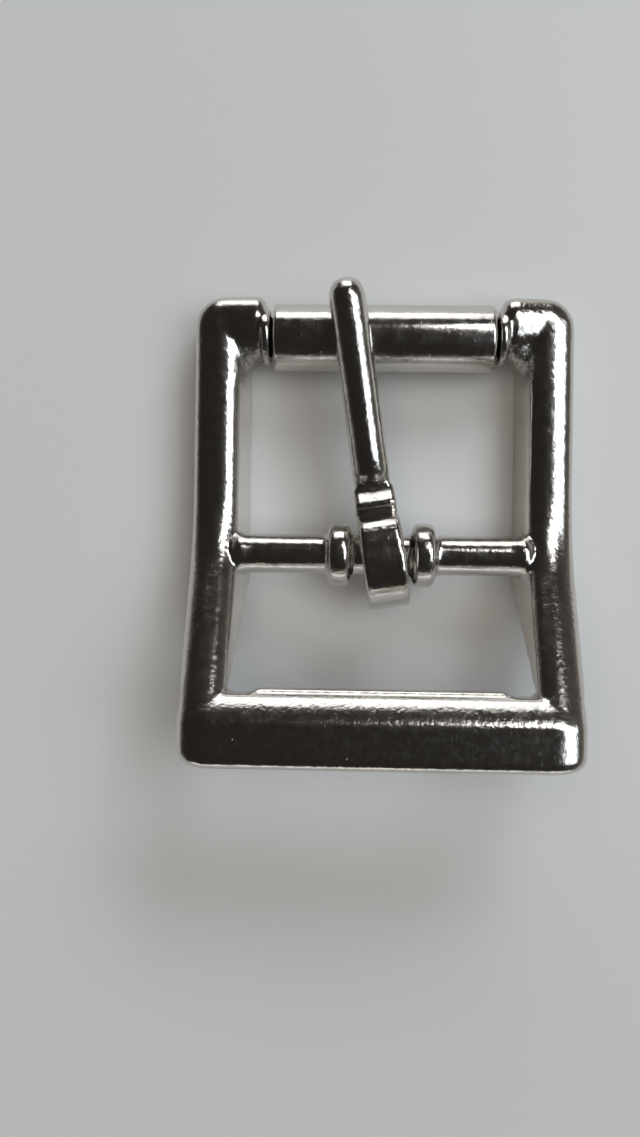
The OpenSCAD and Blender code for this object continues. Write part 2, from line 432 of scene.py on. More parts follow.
class Nodes:
    """A small helper that lays out the nodes of one material, or of the room."""

    def __init__(self, owner: Material | bpy.types.World,
                 output: str = "ShaderNodeOutputMaterial") -> None:
        """Start with an output node alone.

        Args:
            owner: What the nodes belong to.
            output: Blender's name of its output node.
        """
        owner.use_nodes = True
        self.tree = owner.node_tree
        self.tree.nodes.clear()
        self.out = self.tree.nodes.new(output)

    def add(self, kind: str, **settings: object) -> bpy.types.Node:
        """Add a node.

        Args:
            kind: Blender's name of the node.
            settings: Properties of the node.

        Returns:
            The new node.
        """
        node = self.tree.nodes.new(kind)
        for key, value in settings.items():
            setattr(node, key, value)
        return node

    def link(self, source: Socket, target: Socket) -> None:
        """Join two sockets."""
        self.tree.links.new(source, target)

    def math(self, operation: str, a: object, b: object, clamp: bool = False) -> Socket:
        """Add a sum on two values.

        Args:
            operation: Blender's name of the sum.
            a: A socket or a number.
            b: A socket or a number.
            clamp: Keep the answer between 0 and 1.

        Returns:
            The answer's socket.
        """
        node = self.add("ShaderNodeMath", operation=operation, use_clamp=clamp)
        for socket, value in zip(node.inputs, (a, b)):
            if isinstance(value, Socket):
                self.link(value, socket)
            else:
                socket.default_value = value
        return node.outputs[0]

    def millimetres(self, stretch: Sequence[float] = (1, 1, 1), turn: float = 0.0) -> Socket:
        """Object coordinates in millimetres, stretched and turned about Z.

        Args:
            stretch: Factor along each axis.
            turn: Turn in degrees.

        Returns:
            The coordinates' socket.
        """
        where = self.add("ShaderNodeTexCoord")
        scale = self.add("ShaderNodeMapping")
        scale.inputs["Scale"].default_value = [s / MM for s in stretch]
        scale.inputs["Rotation"].default_value = (0, 0, math.radians(turn))
        self.link(where.outputs["Object"], scale.inputs["Vector"])
        return scale.outputs["Vector"]

    def noise(self, where: Socket, per_mm: float, detail: float) -> Socket:
        """Add soft noise.

        Args:
            where: Coordinates.
            per_mm: Lumps in a millimetre.
            detail: Octaves of finer noise.

        Returns:
            The noise, from 0 to 1.
        """
        node = self.add("ShaderNodeTexNoise")
        node.inputs["Scale"].default_value = per_mm
        node.inputs["Detail"].default_value = detail
        self.link(where, node.inputs["Vector"])
        return node.outputs["Fac"]

    def ramp(self, value: Socket, low: float, high: float, out_low: float,
             out_high: float) -> Socket:
        """Spread one range of values over another, clamped and smooth.

        Args:
            value: The value.
            low: Start of its range.
            high: End of its range.
            out_low: Answer at the start.
            out_high: Answer at the end.

        Returns:
            The answer's socket.
        """
        node = self.add("ShaderNodeMapRange", interpolation_type="SMOOTHSTEP")
        self.link(value, node.inputs["Value"])
        for key, number in (("From Min", low), ("From Max", high), ("To Min", out_low),
                            ("To Max", out_high)):
            node.inputs[key].default_value = number
        return node.outputs["Result"]

    def mottle(self, where: Socket, look: Mottle) -> Socket:
        """Soft noise that is spread between two values."""
        noise = self.noise(where, look.per_mm, look.detail)
        return self.ramp(noise, look.start, look.end, look.low, look.high)

    def relief(self, where: Socket, look: Relief) -> Socket:
        """Height of an unevenness, in millimetres."""
        return self.math("MULTIPLY", self.noise(where, look.per_mm, look.detail), look.depth)


@dataclass(frozen=True)
class Skin:
    """What the layers of one finish share while it is laid out."""

    nodes: Nodes
    metal: bpy.types.Node
    where: Socket
    pits: Socket
    crystals: Socket


@dataclass(frozen=True)
class NickelPlate:
    """Bright nickel plating, as it lies on a small casting or tube.

    Lengths are in millimetres. The ripple is the slow unevenness under the plating, the
    peel is the fine orange peel, and the pits are the tiny bright holes. The crystals
    are the rough patches that no wheel could reach, with lumps and grime.
    """

    name: str
    tint: Colour = (0.70, 0.67, 0.63)
    grime_tint: Colour = (0.10, 0.085, 0.07)
    clouds: Mottle = Mottle(per_mm=0.6, detail=4, start=0.35, end=0.65, low=0.94, high=1.0)
    grime: Mottle = Mottle(per_mm=5.0, detail=3, start=0.45, end=0.6, low=0.0, high=0.55)
    haze: Mottle = Mottle(per_mm=1.3, detail=6, start=0.35, end=0.7, low=0.14, high=0.19)
    hairs: Mottle = Mottle(per_mm=1.0, detail=2, start=0.68, end=0.74, low=0.0, high=0.1)
    hair_stretch: tuple[float, float, float] = (14, 0.9, 3)
    hair_turn: float = 24
    ripple: Relief = Relief(per_mm=0.45, detail=1, depth=0.010)
    peel: Relief = Relief(per_mm=2.6, detail=3, depth=0.026)
    lumps: Relief = Relief(per_mm=2.2, detail=4, depth=0.14)
    pits_per_mm: float = 1.1
    pit_share: float = 0.10
    pit_radius: float = 0.075
    pit_floor: float = 0.4
    pit_depth: float = 0.03
    pit_shade: float = 0.35
    pit_dull: float = 0.15
    crystals_at: tuple[tuple[float, float, float], ...] = ()
    crystal_reach: float = 2.6
    crystal_core: float = 0.45
    crystal_dull: float = 0.16

    def material(self) -> Material:
        """Lay out the finish.

        Returns:
            The material.
        """
        material = bpy.data.materials.new(self.name)
        n = Nodes(material)
        where = n.millimetres()
        metal = n.add("ShaderNodeBsdfPrincipled")
        metal.inputs["Metallic"].default_value = 1.0
        n.link(metal.outputs["BSDF"], n.out.inputs["Surface"])
        skin = Skin(n, metal, where, self._pits(n, where), self._crystals(n, where))
        self._tint(skin)
        self._dullness(skin)
        self._relief(skin)
        return material

    def _pits(self, n: Nodes, where: Socket) -> Socket:
        """Scattered pits.

        Args:
            n: The material's nodes.
            where: Coordinates.

        Returns:
            1 in the middle of a pit and 0 off it.
        """
        cells = n.add("ShaderNodeTexVoronoi", feature="F1")
        cells.inputs["Scale"].default_value = self.pits_per_mm
        n.link(where, cells.inputs["Vector"])
        radius = self.pit_radius * self.pits_per_mm
        hole = n.ramp(cells.outputs["Distance"], radius * self.pit_floor, radius, 1, 0)
        parts = n.add("ShaderNodeSeparateColor")
        n.link(cells.outputs["Color"], parts.inputs["Color"])
        kept = n.math("LESS_THAN", parts.outputs["Red"], self.pit_share)
        return n.math("MULTIPLY", hole, kept)

    def _crystals(self, n: Nodes, where: Socket) -> Socket:
        """Where the casting was too tight to polish.

        Args:
            n: The material's nodes.
            where: Coordinates.

        Returns:
            1 there and 0 elsewhere.
        """
        total = n.math("ADD", 0, 0)
        for spot in self.crystals_at:
            away = n.add("ShaderNodeVectorMath", operation="DISTANCE")
            away.inputs[1].default_value = spot
            n.link(where, away.inputs[0])
            here = n.ramp(away.outputs["Value"], self.crystal_reach * self.crystal_core,
                          self.crystal_reach, 1, 0)
            total = n.math("MAXIMUM", here, total)
        return total

    def _tint(self, skin: Skin) -> None:
        """Colour of the plating, a little uneven and darker in pits and crystals.

        Args:
            skin: What the finish is laid out on.
        """
        n = skin.nodes
        grime = n.math("MULTIPLY", n.mottle(skin.where, self.grime), skin.crystals)
        clean = n.math("SUBTRACT", n.mottle(skin.where, self.clouds), grime, clamp=True)
        shade = n.math("SUBTRACT", 1, n.math("MULTIPLY", skin.pits, self.pit_shade))
        mix = n.add("ShaderNodeMix", data_type="RGBA", blend_type="MIX")
        mix.inputs["A"].default_value = (*self.grime_tint, 1)
        mix.inputs["B"].default_value = (*self.tint, 1)
        n.link(n.math("MULTIPLY", clean, shade), mix.inputs["Factor"])
        n.link(mix.outputs["Result"], skin.metal.inputs["Base Color"])

    def _dullness(self, skin: Skin) -> None:
        """Gloss of the plating: clouds of faint haze, hairlines and dull crystals.

        Args:
            skin: What the finish is laid out on.
        """
        n = skin.nodes
        along_hairs = n.millimetres(self.hair_stretch, self.hair_turn)
        rough = n.math("ADD", n.mottle(skin.where, self.haze),
                       n.mottle(along_hairs, self.hairs))
        rough = n.math("ADD", rough, n.math("MULTIPLY", skin.crystals, self.crystal_dull))
        rough = n.math("ADD", rough, n.math("MULTIPLY", skin.pits, self.pit_dull),
                       clamp=True)
        n.link(rough, skin.metal.inputs["Roughness"])

    def _relief(self, skin: Skin) -> None:
        """Relief of the plating: ripple, orange peel, pits and crystals.

        Args:
            skin: What the finish is laid out on.
        """
        n, where = skin.nodes, skin.where
        lumps = n.math("MULTIPLY", n.relief(where, self.lumps), skin.crystals)
        height = n.math("ADD", n.relief(where, self.ripple),
                        n.math("ADD", n.relief(where, self.peel), lumps))
        holes = n.math("MULTIPLY", skin.pits, self.pit_depth)
        bump = n.add("ShaderNodeBump")
        bump.inputs["Strength"].default_value = 1
        bump.inputs["Distance"].default_value = MM
        n.link(n.math("SUBTRACT", height, holes), bump.inputs["Height"])
        n.link(bump.outputs["Normal"], skin.metal.inputs["Normal"])


@dataclass
class CastFrame:
    """The cast frame: legs, ears, heel bar, centre bar with collars, and roller pin.

    Lengths are in millimetres. A shrink is the share of its breadth and height that a
    section loses at a pillowed end, and a heart is the point that it shrinks to.
    """

    at: Stations
    leg_width: float = 4.0
    crown_in: float = 1.8
    leg_height: float = 4.7
    leg_round: float = 1.05
    outer_round: float = 1.2
    # How far a leg's section reaches down before its ramp is cut free
    leg_root: float = 12.0
    # How far in from the crown the draft starts
    foot_core: float = 0.5
    # How much broader a leg is at its inner foot
    draft: float = 0.7
    bend_start: float = 5.64
    bend_radius: float = 16.8
    bend_steps: int = 15
    ramp_degrees: float = 26.0
    # How far the legs end below the top of the heel bar
    tuck: float = 0.25
    foot_end: float = 1.5
    heel_relief: float = 0.4
    heel_crown: float = 1.45
    crown_stretch: float = 1.55
    crown_profile: float = 0.33
    heel_outer_round: float = 1.0
    heel_low_round: float = 0.75
    heel_end_round: float = 2.6
    heel_shrink: tuple[float, float] = (0.32, 0.42)
    # Inward from the middle of the bar, and up from its underside
    heel_heart: tuple[float, float] = (0.4, 0.7)
    lip_depth: float = 0.45
    lip_root: float = 1.0
    lip_rise: float = 0.9
    lip_height: float = 1.4
    lip_end: float = 0.2
    lip_taper: float = 2.6
    fillet_reach: float = 1.6
    fillet_root: float = 0.8
    fillet_rise: float = 0.2
    fillet_height: float = 0.8
    fillet_round: float = 2.2
    fillet_hollow: float = 0.15
    ear_width: float = 6.25
    ear_length: float = 6.8
    ear_outer_round: float = 2.6
    ear_inner_round: float = 1.1
    corner_steps: int = 12
    ear_shrink: tuple[float, float] = (0.30, 0.22)
    # Back from the far side of the ear, and up from the table
    ear_heart: tuple[float, float] = (2.3, 2.2)
    arm_swell: tuple[float, float] = (1.12, 1.08)
    web_height: float = 4.35
    web_length: float = 5.9
    web_step: float = 0.05
    web_overlap: float = 2.0
    web_corner_cut: float = 2.5
    web_crest: float = 2.0
    web_slope: float = 0.75
    web_round: float = 0.9
    # Across, back from the roller's axis, and up from the table
    pocket: tuple[float, float, float] = (11.6, 2.6, 3.6)
    bar_radius: float = 1.75
    flare_end: float = 1.2
    collar_radius: float = 2.8
    collar_width: float = 2.0
    collar_gap: float = 5.3
    collar_round: float = 0.55
    collar_bulge: float = 0.3
    pin_radius: float = 1.65
    pin_sink: float = 1.0
    shoulder_radius: float = 2.4
    shoulder_width: float = 0.35
    shoulder_sink: float = 0.4
    shoulder_round: float = 0.12
    grain: float = 0.17
    melt_rounds: int = 9

    @property
    def ear_face_x(self) -> float:
        """Place of the right ear's inner face."""
        return self.at.half_out - self.ear_width

    @property
    def ear_far_y(self) -> float:
        """Place of the ears' far side."""
        return self.at.roller_y + self.ear_length / 2

    @property
    def pivot(self) -> tuple[float, float, float]:
        """Pivot of the right ear's round outer corner."""
        round_by = self.ear_outer_round
        return self.at.half_out - round_by, self.ear_far_y - round_by, 0.0

    def build(self) -> Piece:
        """Model the whole casting and plate it.

        Returns:
            The frame as one skin.
        """
        one_side = Bench.join("right_half", [self._leg(), self._web(), self._window_corner(),
                                             self._shoulder()])
        Bench.outward(one_side)
        Bench.apply(one_side, "MIRROR", use_axis=(True, False, False), use_clip=False,
                    use_mirror_merge=False)
        whole = Bench.join("cast_frame", [one_side, self._heel(), self._lip(),
                                          self._centre_bar(), self._pin()])
        Bench.outward(whole)
        Bench.cast(whole, self.grain, self.melt_rounds)
        Bench.dress(whole, self._finish())
        return whole

    def _finish(self) -> Material:
        """Nickel, with crystals in the pockets inside the elbows of the ears.

        Returns:
            The material.
        """
        x, back, z = self.pocket
        pockets = tuple((side.value * x, self.at.roller_y - back, z) for side in Side)
        return NickelPlate("cast_nickel", crystals_at=pockets).material()

    def _leg(self) -> Piece:
        """One side: the arm of the ear, the round corner, and the leg with its ramp."""
        return Bench.join("leg", [self._arm(), self._corner(), self._run()])

    def _section(self, name: str, x: float, low: float) -> Piece:
        """The domed section of the leg, standing across X and facing right.

        Args:
            name: Name of the piece.
            x: Where it stands.
            low: Height of its flat foot.

        Returns:
            The section, left in edit mode with its face held.
        """
        outer = self.leg_width - self.crown_in
        y, spring = self.ear_far_y - outer, self.leg_height - self.leg_round
        section = Bench.disc(name, 1.0, (x, y, spring), facets=48)
        crown, root, foot = ((x, y, z) for z in (self.leg_height, spring, low))
        moves: list[tuple[Place, tuple[float, ...], tuple[float, ...]]] = [
            (lambda p: p.y > y, (1, outer, 1), root),
            (lambda p: p.y < y, (1, self.crown_in, 1), root),
            (lambda p: p.z > spring, (1, 1, self.leg_round), root),
            (lambda p: p.z < spring - ON_LINE, (1, 1, 0), foot),
            (lambda p: p.z > spring - ON_LINE and p.y > y,
             (1, 1, self.outer_round / self.leg_round), crown)]
        for place, factors, about in moves:
            Bench.pick(section, Pick.CORNER, place)
            Bench.stretch(factors, about)
        Bench.pick(section, Pick.CORNER,
                   lambda p: p.y < y - self.foot_core and p.z < low + ON_LINE)
        inward = -self.draft * (spring - low) / spring
        bpy.ops.transform.translate(value=(0, inward * MM, 0))
        Bench.pick(section, Pick.FACE, lambda p: True)
        return section

    def _arm(self) -> Piece:
        """The arm of an ear: broad and high at its inner face, as the leg at its root.

        Returns:
            The arm.
        """
        face, far, root = self.ear_face_x, self.ear_far_y, self.pivot[0]
        arm = self._section("arm", face, low=0)
        broad, high = self.arm_swell
        Bench.stretch((1, broad, high), (face, far, 0))
        back, rise = self.ear_heart
        self._pillow(self.ear_inner_round, self.ear_shrink, (face, far - back, rise),
                     opening=True)
        Bench.draw_out((root - face - self.ear_inner_round, 0, 0))
        Bench.stretch((1, 1 / broad, 1 / high), (root, far, 0))
        Bench.outward(arm)
        return arm

    def _corner(self) -> Piece:
        """The round outer corner of an ear, swung about its pivot.

        Returns:
            The corner.
        """
        corner = self._section("round_corner", self.pivot[0], low=0)
        Bench.cut(corner, self.pivot, (0, -1, 0))
        Bench.pick(corner, Pick.FACE, lambda p: True)
        Bench.swing("Z", QUARTER_TURN, self.corner_steps, self.pivot)
        Bench.outward(corner)
        return corner

    def _run(self) -> Piece:
        """The leg from the round corner to the heel bar: level, bend and ramp.

        Returns:
            The leg.
        """
        at = self.at
        leg = self._section("run", self.pivot[0], self.leg_height - self.leg_root)
        Bench.turn("Z", QUARTER_TURN, self.pivot)
        bend_y = at.along(self.bend_start)
        Bench.draw_out((0, bend_y - self.pivot[1], 0))
        slope = math.radians(self.ramp_degrees)
        Bench.swing("X", slope, self.bend_steps,
                    (0, bend_y, self.leg_height + self.bend_radius))
        ramp_y = self.bend_start - self.bend_radius * math.sin(slope)
        run = at.heel_from_bar + self.heel_crown + ramp_y
        Bench.draw_out((0, -run, run * math.tan(slope)))
        Bench.outward(leg)
        foot = at.along(-self.foot_end)
        Bench.cut(leg, (0, 0, 0), (0, 0, -1))
        Bench.cut(leg, (0, foot, 0), (0, -at.heel_low, -(foot - at.heel_inner_y)))
        Bench.cut(leg, (0, 0, at.heel_top - self.tuck), (0, 0, 1))
        shoulder = self.heel_crown * (1 - math.sqrt(0.5))
        Bench.cut(leg, (at.half_out - shoulder, 0, at.heel_top - shoulder), (1, 0, 1))
        return leg

    @staticmethod
    def _pillow(reach: float, shrink: tuple[float, float], heart: Sequence[float],
                opening: bool, steps: int = 7) -> None:
        """Extrude the held section along X through a pillowed end.

        Args:
            reach: Length of the pillowed end.
            shrink: Share of its breadth and height that the section loses at the tip.
            heart: Point that the section shrinks to.
            opening: True if the section swells on its way, False if it shrinks.
            steps: Number of faces along it.
        """
        turns = [math.radians(RIGHT_ANGLE * number / steps) for number in range(steps + 1)]
        sizes = [tuple(1 - part * (1 - math.sin(turn)) for part in shrink) for turn in turns]
        moves = [reach * (math.cos(a) - math.cos(b)) for a, b in zip(turns, turns[1:])]
        if opening:
            Bench.stretch((1, *sizes[0]), heart)
        else:
            sizes.reverse()
            moves.reverse()
        for move, old, new in zip(moves, sizes, sizes[1:]):
            Bench.draw_out((move, 0, 0))
            Bench.stretch((1, new[0] / old[0], new[1] / old[1]), heart)

    def _web(self) -> Piece:
        """The lower web of an ear, inside the elbow, with its corner cut to the leg.

        Returns:
            The web.
        """
        left, high = self.ear_face_x, self.web_height
        near = self.at.roller_y - self.ear_length / 2
        right = self.at.half_in + self.web_overlap
        web = Bench.block("ear", (left + self.web_step, near, 0),
                          (right, near + self.web_length, high))
        Bench.cut(web, (left + self.web_corner_cut, near, 0), (-1, -1, 0))
        Bench.cut(web, (left, near + self.web_crest, high), (0, -self.web_slope, 1))
        # The upper edges clear of the leg. An upright edge has its middle at half height
        lowest, rightmost, upright = high - 3.0, right - 0.5, 0.6
        Bench.round_off(web, lambda p: p.z > lowest and p.x < rightmost
                        and abs(p.z - high / 2) > upright, self.web_round, steps=5)
        return web

    def _window_corner(self) -> Piece:
        """The hollow corner between a leg and the heel bar.

        Returns:
            The corner.
        """
        x, y = self.at.half_in + self.heel_relief, self.at.heel_inner_y
        left, far = x - self.fillet_reach, y + self.fillet_reach
        low = self.at.heel_low + self.fillet_rise
        corner = Bench.block("corner", (left, y - self.fillet_root, low),
                             (x + self.fillet_root, far, low + self.fillet_height))
        Bench.round_off(corner, lambda p: p.x < left + ON_LINE and p.y > far - ON_LINE,
                        self.fillet_round, steps=8, profile=self.fillet_hollow)
        return corner

    def _shoulder(self) -> Piece:
        """The round shoulder on the inner face of an ear.

        Returns:
            The shoulder.
        """
        face = self.ear_face_x - self.shoulder_width
        shoulder = Bench.rod("shoulder", self.shoulder_radius,
                             (face, self.at.roller_y, self.at.roller_z),
                             self.shoulder_width + self.shoulder_sink)
        Bench.round_off(shoulder, lambda p: abs(p.x - face) < ON_LINE, self.shoulder_round,
                        steps=2)
        return shoulder

    def _heel(self) -> Piece:
        """The raised heel bar, drawn from end to end, with a round far edge.

        Returns:
            The heel bar.
        """
        at = self.at
        middle = (at.heel_inner_y + at.heel_outer_y) / 2
        waist = at.heel_low + at.heel_thick / 2
        Bench.clear()
        bpy.ops.mesh.primitive_plane_add(
            size=1, rotation=(0, QUARTER_TURN, 0),
            location=(-at.half_out * MM, middle * MM, waist * MM))
        bpy.context.object.scale = (at.heel_thick * MM, at.heel_depth * MM, 1)
        heel = Bench.settle("heel")
        rounds: list[tuple[Place, float, float]] = [
            (lambda p: p.z > waist and p.y > middle, self.heel_crown, self.crown_profile),
            (lambda p: p.z > waist and p.y < middle, self.heel_outer_round, Bench.ROUND),
            (lambda p: p.z < waist, self.heel_low_round, Bench.ROUND)]
        for place, width, profile in rounds:
            Bench.pick(heel, Pick.CORNER, place)
            bpy.ops.mesh.bevel(offset=width * MM, segments=9, affect="VERTICES",
                               profile=profile)
        Bench.pick(heel, Pick.CORNER, lambda p: p.z > waist and p.y > middle)
        Bench.stretch((1, self.crown_stretch, 1), (0, at.heel_inner_y, 0))
        Bench.pick(heel, Pick.FACE, lambda p: True)
        far, rise = self.heel_heart
        heart = (0, middle + far, at.heel_low + rise)
        self._pillow(self.heel_end_round, self.heel_shrink, heart, opening=True)
        Bench.draw_out((2 * (at.half_out - self.heel_end_round), 0, 0))
        self._pillow(self.heel_end_round, self.heel_shrink, heart, opening=False)
        Bench.outward(heel)
        return heel

    def _lip(self) -> Piece:
        """The lip below the inner edge of the heel bar.

        Returns:
            The lip.
        """
        at, depth = self.at, self.lip_depth
        reach, flat = at.half_in - self.lip_end, at.half_in - self.lip_taper
        edge, low = at.heel_inner_y + depth, at.heel_low + self.lip_rise
        lip = Bench.block("lip", (-reach, at.heel_inner_y - self.lip_root, low),
                          (reach, edge, low + self.lip_height))
        for side in Side:
            Bench.cut(lip, (side.value * flat, edge, 0), (side.value * depth, reach - flat, 0))
        return lip

    def _centre_bar(self) -> Piece:
        """The centre bar, drawn out of one disc: flare, bar, collar, bar, and back.

        Returns:
            The centre bar with its flares and collars.
        """
        at = self.at
        bar, collar, soft = self.bar_radius, self.collar_radius, self.collar_round
        inner = self.collar_gap / 2
        outer = inner + self.collar_width
        mid = soft * self.collar_bulge
        # How far outside the leg's inner face, and the flare's radius there
        flare = [(1.0, 0.9), (0.6, 1.35), (0.3, 1.62), (0.0, 1.84), (-0.3, 1.88), (-0.7, 1.82)]
        outline = [(at.half_in + x, radius) for x, radius in flare]
        outline += [(at.half_in - self.flare_end, bar), (outer, bar), (outer, collar - soft),
                    (outer - mid, collar - mid), (outer - soft, collar),
                    (inner + soft, collar), (inner + mid, collar - mid),
                    (inner, collar - soft), (inner, bar)]
        outline += [(-x, radius) for x, radius in reversed(outline)]
        return Turning(outline, (at.bar_y, at.bar_z)).piece("centre_bar")

    def _pin(self) -> Piece:
        """The cast pin inside the roller."""
        reach = self.ear_face_x + self.pin_sink
        return Bench.rod("pin", self.pin_radius, (-reach, self.at.roller_y, self.at.roller_z),
                         2 * reach)


@dataclass
class Turning:
    """A piece turned on a lathe along X.

    The outline lists stations from right to left, each with its radius, in millimetres.
    """

    outline: list[tuple[float, float]]
    axis: tuple[float, float]
    facets: int = 64

    def piece(self, name: str) -> Piece:
        """Draw the piece out of its right-hand end face.

        Args:
            name: Name of the piece.

        Returns:
            The turned piece.
        """
        x, radius = self.outline[0]
        turned = Bench.disc(name, radius, (x, *self.axis), self.facets)
        Bench.pick(turned, Pick.FACE, lambda p: True)
        for next_x, next_radius in self.outline[1:]:
            ratio = next_radius / radius
            Bench.draw_out((next_x - x, 0, 0))
            Bench.stretch((1, ratio, ratio), (next_x, *self.axis))
            x, radius = next_x, next_radius
        Bench.outward(turned)
        return turned


@dataclass
class RollerTube:
    """The tube that turns on the cast pin. Lengths are in millimetres."""

    at: Stations
    radius: float = 2.9
    bore: float = 1.95
    length: float = 19.2
    edge: float = 0.32
    bore_edge: float = 0.12
    rim_slack: float = 0.05
    crease_degrees: float = 35.0

    def build(self) -> Piece:
        """Model the tube with rounded ends and plate it.

        Returns:
            The roller.
        """
        start = (-self.length / 2, self.at.roller_y, self.at.roller_z)
        tube = Bench.rod("roller_tube", self.radius, start, self.length, facets=128)
        ends = Bench.pick(tube, Pick.FACE, self._at_end)
        bpy.ops.mesh.inset(thickness=(self.radius - self.bore) * MM, use_boundary=True)
        LOG.info("roller_tube: bored from %d ends", ends)
        bpy.ops.mesh.bridge_edge_loops()
        Bench.outward(tube)
        outer, inner = self.radius - self.rim_slack, self.bore + self.rim_slack
        Bench.round_off(tube, lambda p: self._at_end(p) and self._off_axis(p) > outer,
                        self.edge, steps=5)
        Bench.round_off(tube, lambda p: self._at_end(p) and self._off_axis(p) < inner,
                        self.bore_edge, steps=2)
        Bench.hold(tube)
        bpy.ops.object.shade_smooth_by_angle(angle=math.radians(self.crease_degrees))
        Bench.dress(tube, self._finish())
        return tube

    def _at_end(self, point: Vector) -> bool:
        """Whether a place lies on one of the two end faces."""
        return abs(abs(point.x) - self.length / 2) < ON_LINE

    def _off_axis(self, point: Vector) -> float:
        """How far a place lies from the tube's axis."""
        return math.hypot(point.y - self.at.roller_y, point.z - self.at.roller_z)

    @staticmethod
    def _finish() -> Material:
        """Nickel on drawn tube, which is smoother than a casting.

        Returns:
            The material.
        """
        return NickelPlate(
            "roller_nickel", pit_share=0.05,
            haze=Mottle(per_mm=1.3, detail=6, start=0.35, end=0.7, low=0.14, high=0.21),
            ripple=Relief(per_mm=0.45, detail=1, depth=0.004),
            peel=Relief(per_mm=2.6, detail=3, depth=0.015)).material()


class Section(NamedTuple):
    """One cross-section of the tongue, in millimetres.

    far is its distance from the eye, and rise how high its underside lies over the neck's.
    """

    far: float
    rise: float
    thick: float
    width: float


